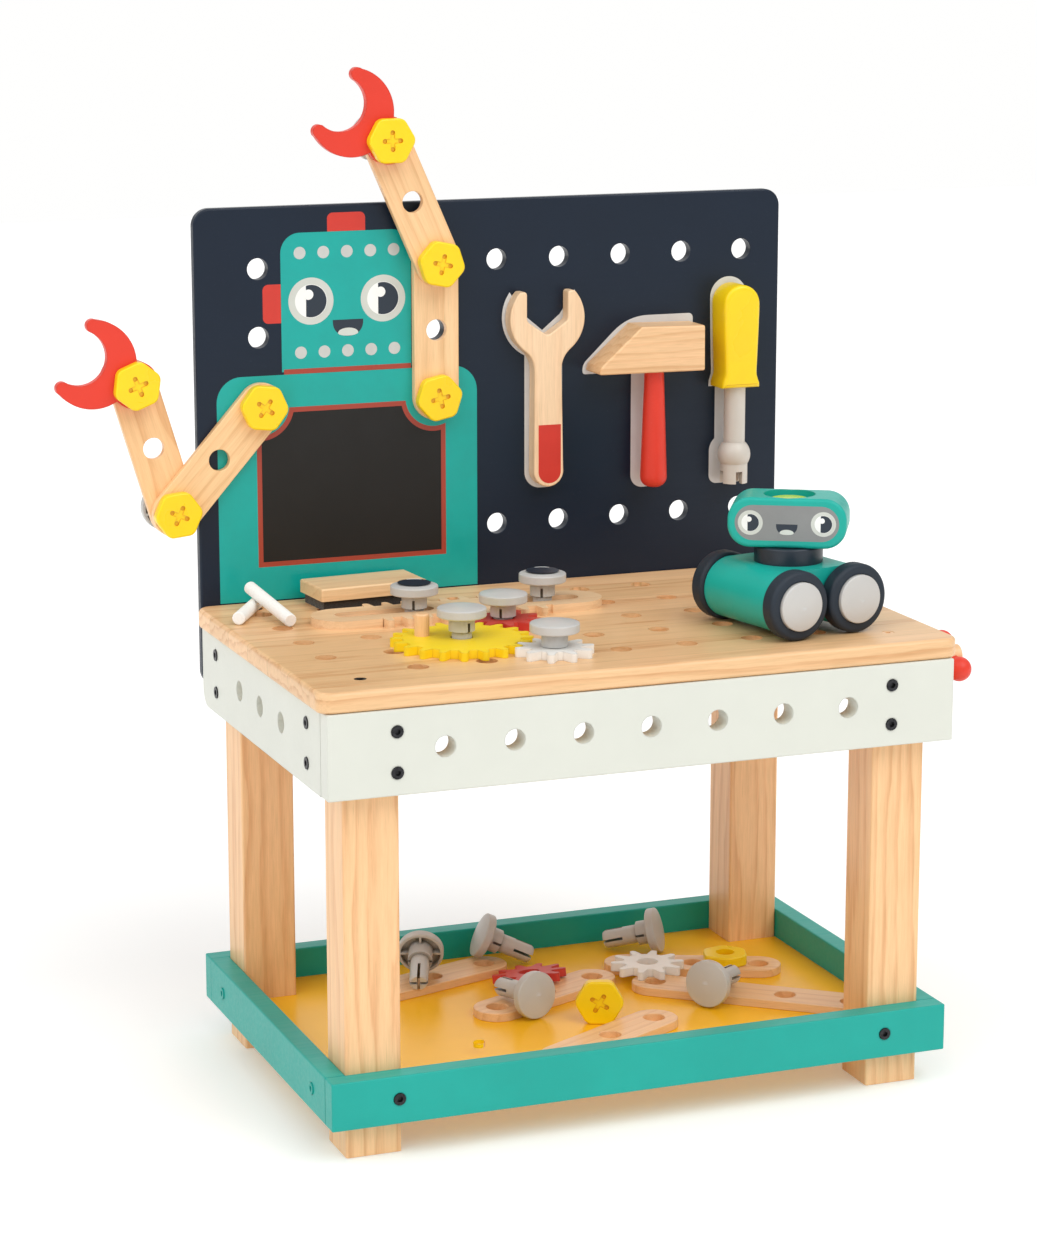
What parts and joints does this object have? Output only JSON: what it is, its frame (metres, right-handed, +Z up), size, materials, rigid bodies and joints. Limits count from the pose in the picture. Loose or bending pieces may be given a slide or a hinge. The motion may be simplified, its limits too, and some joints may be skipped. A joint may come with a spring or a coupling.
{
  "type": "toy tool bench",
  "caption": "Child's wooden tool bench with a slotted tabletop, robot-print peg panel with posable arms, hand tools, gears, rack, small robot buggy and a tray of loose parts.",
  "frame": {"origin": "on the floor, under the middle of the whole object's outline", "axes": "+Z up, +Y from the front apron towards the back panel, +X to the right seen from the front"},
  "size_m": [0.5887, 0.3144, 0.6829],
  "materials": {
    "pine": "satin lacquer over straight pine grain",
    "pale_paint": "satin paint",
    "navy_paint": "satin paint",
    "teal_paint": "satin paint",
    "yellow_board": "satin paint",
    "black_steel": "satin black",
    "grey_plastic": "soft satin",
    "yellow_plastic": "semi-gloss",
    "red_paint": "satin paint",
    "yellow_paint": "satin paint",
    "white_paint": "satin paint",
    "black_felt": "felt",
    "chalk": "dry matte",
    "navy_rubber": "matte rubber"
  },
  "bodies": {
    "bench": {"leg_front_left": "pine", "leg_front_right": "pine", "leg_back_left": "pine", "leg_back_right": "pine", "apron_front": "pale_paint", "apron_left": "pale_paint", "apron_right": "pale_paint", "back_rail": "pine", "tabletop": "pine", "back_panel": "navy_paint", "tray_front": "teal_paint", "tray_back": "teal_paint", "tray_left": "teal_paint", "tray_right": "teal_paint", "tray_floor": "yellow_board", "frame_bolts": "black_steel", "panel_pegs": "grey_plastic", "panel_nuts": "yellow_plastic", "right_lower_link": "pine", "table_pegs": "grey_plastic"},
    "left_upper_arm": {"left_upper_arm": "pine"},
    "left_forearm": {"left_forearm": "pine", "left_arm_pegs": "grey_plastic", "left_arm_nuts": "yellow_plastic"},
    "left_claw": {"left_claw": "red_paint"},
    "right_forearm": {"right_forearm": "pine", "right_wrist_peg": "grey_plastic", "right_wrist_nut": "yellow_plastic"},
    "right_claw": {"right_claw": "red_paint"},
    "wrench": {"wrench": "pine"},
    "hammer": {"hammer_head": "pine", "hammer_handle": "red_paint"},
    "screwdriver": {"screwdriver_handle": "yellow_plastic", "screwdriver_shaft": "grey_plastic"},
    "drive_gear": {"drive_gear": "yellow_paint", "crank_knob": "pine"},
    "red_gear": {"red_gear": "red_paint"},
    "white_gear": {"white_gear": "white_paint"},
    "rack": {"rack": "pine"},
    "brush": {"brush_block": "pine", "brush_felt": "black_felt"},
    "chalk": {"chalk_a": "chalk", "chalk_b": "chalk"},
    "buggy": {"buggy_body": "teal_paint", "buggy_neck": "navy_paint", "buggy_hub_pegs": "grey_plastic"},
    "buggy_head": {"buggy_head": "teal_paint", "buggy_level": "yellow_plastic"},
    "buggy_wheel_1": {"buggy_wheel_1": "navy_rubber"},
    "buggy_wheel_2": {"buggy_wheel_2": "navy_rubber"},
    "buggy_wheel_3": {"buggy_wheel_3": "navy_rubber"},
    "buggy_wheel_4": {"buggy_wheel_4": "navy_rubber"},
    "vise_screw": {"vise_screw": "pine", "vise_handle": "red_paint"},
    "vise_jaw": {"vise_jaw": "pine"},
    "loose_pieces": {"tray_pegs": "grey_plastic", "tray_links": "pine", "tray_nuts": "yellow_plastic", "tray_yellow_gear": "yellow_paint", "tray_small_gears": "red_paint"}
  },
  "joints": [
    {"name": "left_shoulder", "type": "hinge", "parent": "bench", "child": "left_upper_arm", "pos_m": [-0.1495, 0.1226, 0.4513], "axis": [0, 1, 0], "range_deg": [0, 25]},
    {"name": "left_elbow", "type": "hinge", "parent": "left_upper_arm", "child": "left_forearm", "pos_m": [-0.21232, 0.1256, 0.3803], "axis": [0, 1, 0], "range_deg": [-115, 0]},
    {"name": "left_wrist", "type": "hinge", "parent": "left_forearm", "child": "left_claw", "pos_m": [-0.23924, 0.1226, 0.47119], "axis": [0, 1, 0], "range_deg": [-90, 90]},
    {"name": "right_elbow", "type": "hinge", "parent": "bench", "child": "right_forearm", "pos_m": [-0.0212, 0.1166, 0.5461], "axis": [0, 1, 0], "range_deg": [-31, 78]},
    {"name": "right_wrist", "type": "hinge", "parent": "right_forearm", "child": "right_claw", "pos_m": [-0.05946, 0.1106, 0.63284], "axis": [0, 1, 0], "range_deg": [-90, 90]},
    {"name": "wrench_pull", "type": "slide", "parent": "bench", "child": "wrench", "axis": [0, -1, 0], "range_m": [0, 0.06]},
    {"name": "hammer_pull", "type": "slide", "parent": "bench", "child": "hammer", "axis": [0, -1, 0], "range_m": [0, 0.06]},
    {"name": "screwdriver_pull", "type": "slide", "parent": "bench", "child": "screwdriver", "axis": [0, -1, 0], "range_m": [0, 0.06]},
    {"name": "drive_gear_spin", "type": "hinge", "parent": "bench", "child": "drive_gear", "pos_m": [-0.0686, -0.0582, 0.3158], "axis": [0, 0, 1], "range_deg": [-6.4, 47.6]},
    {"name": "red_gear_spin", "type": "hinge", "parent": "bench", "child": "red_gear", "pos_m": [-0.0214, -0.011, 0.3158], "axis": [0, 0, 1], "range_deg": [-96, 14]},
    {"name": "white_gear_spin", "type": "hinge", "parent": "bench", "child": "white_gear", "pos_m": [-0.0214, -0.1054, 0.3158], "axis": [0, 0, 1], "range_deg": [-96, 14]},
    {"name": "rack_slide", "type": "slide", "parent": "bench", "child": "rack", "axis": [1, 0, 0], "range_m": [-0.005, 0.037]},
    {"name": "brush_lift", "type": "slide", "parent": "bench", "child": "brush", "axis": [0, 0, 1], "range_m": [0, 0.08]},
    {"name": "chalk_lift", "type": "slide", "parent": "bench", "child": "chalk", "axis": [0, 0, 1], "range_m": [0, 0.08]},
    {"name": "buggy_lift", "type": "slide", "parent": "bench", "child": "buggy", "axis": [0, 0, 1], "range_m": [0, 0.1]},
    {"name": "buggy_head_swivel", "type": "hinge", "parent": "buggy", "child": "buggy_head", "pos_m": [0.1598, -0.0774, 0.38], "axis": [0, 0, 1], "range_deg": [-60, 60]},
    {"name": "buggy_wheel_1_spin", "type": "hinge", "parent": "buggy", "child": "buggy_wheel_1", "pos_m": [0.14363, -0.12129, 0.3366], "axis": [-0.1908, 0.9816, 0], "continuous": true},
    {"name": "buggy_wheel_2_spin", "type": "hinge", "parent": "buggy", "child": "buggy_wheel_2", "pos_m": [0.19124, -0.11204, 0.3366], "axis": [-0.1908, 0.9816, 0], "continuous": true},
    {"name": "buggy_wheel_3_spin", "type": "hinge", "parent": "buggy", "child": "buggy_wheel_3", "pos_m": [0.12836, -0.04276, 0.3366], "axis": [-0.1908, 0.9816, 0], "continuous": true},
    {"name": "buggy_wheel_4_spin", "type": "hinge", "parent": "buggy", "child": "buggy_wheel_4", "pos_m": [0.17597, -0.03351, 0.3366], "axis": [-0.1908, 0.9816, 0], "continuous": true},
    {"name": "vise_screw_turn", "type": "hinge", "parent": "bench", "child": "vise_screw", "pos_m": [0.2558, -0.0766, 0.2808], "axis": [1, 0, 0], "range_deg": [0, 360]},
    {"name": "vise_jaw_slide", "type": "slide", "parent": "bench", "child": "vise_jaw", "axis": [1, 0, 0], "range_m": [0, 0.008]},
    {"name": "loose_pieces_lift", "type": "slide", "parent": "bench", "child": "loose_pieces", "axis": [0, 0, 1], "range_m": [0, 0.12]}
  ],
  "couplings": [
    {"joint": "red_gear_spin", "follows": "drive_gear_spin", "ratio": -2},
    {"joint": "white_gear_spin", "follows": "drive_gear_spin", "ratio": -2},
    {"joint": "rack_slide", "follows": "drive_gear_spin", "m_per_rad": 0.0445},
    {"joint": "vise_jaw_slide", "follows": "vise_screw_turn", "m_per_rad": 0.00127}
  ]
}
